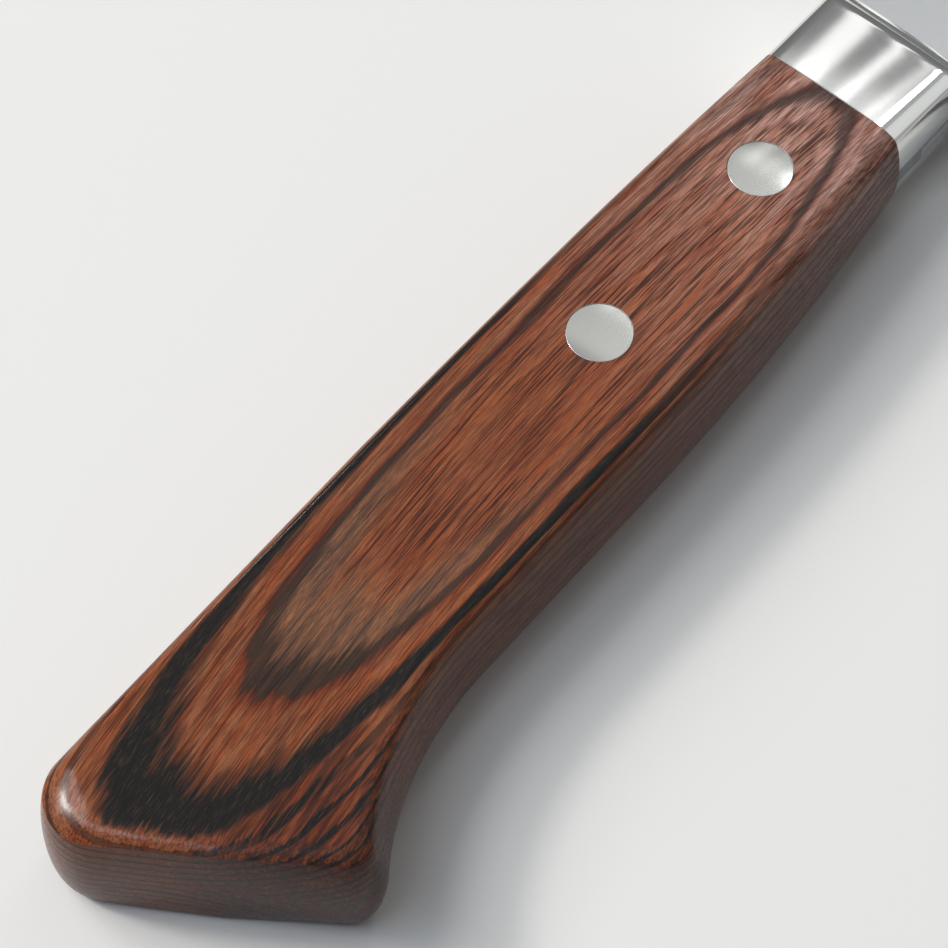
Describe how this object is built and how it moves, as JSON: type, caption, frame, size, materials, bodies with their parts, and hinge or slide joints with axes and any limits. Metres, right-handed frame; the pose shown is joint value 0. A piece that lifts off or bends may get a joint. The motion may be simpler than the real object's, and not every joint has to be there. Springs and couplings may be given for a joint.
{
  "type": "gyuto knife",
  "caption": "Chef's knife with a long tapering layered blade, a polished steel bolster and a riveted laminated-wood handle that flares to a slanted butt.",
  "frame": {"origin": "middle of the bounding box in plan, on the surface that the knife lies on with its left face down", "axes": "+X from the butt to the tip, +Y from the edge to the spine, +Z out of the right-hand face, which faces up"},
  "size_m": [0.3426, 0.0472, 0.0152],
  "materials": {
    "core_steel": "fine ground, polished edge bevel",
    "clad_steel": "satin",
    "tang_steel": "as rolled",
    "bolster_steel": "polished, with fine lengthwise marks",
    "rivet_steel": "ground flush, satin",
    "laminated_wood": "resin-impregnated red-brown and charcoal veneers, buffed to a satin gloss"
  },
  "bodies": {
    "root": {"blade_core": "core_steel", "cladding_right": "clad_steel", "cladding_left": "clad_steel", "tang": "tang_steel", "bolster_right": "bolster_steel", "bolster_left": "bolster_steel", "handle_scale_right": "laminated_wood", "handle_scale_left": "laminated_wood", "front_rivet_male": "rivet_steel", "front_rivet_female": "rivet_steel", "rear_rivet_male": "rivet_steel", "rear_rivet_female": "rivet_steel"}
  },
  "joints": []
}
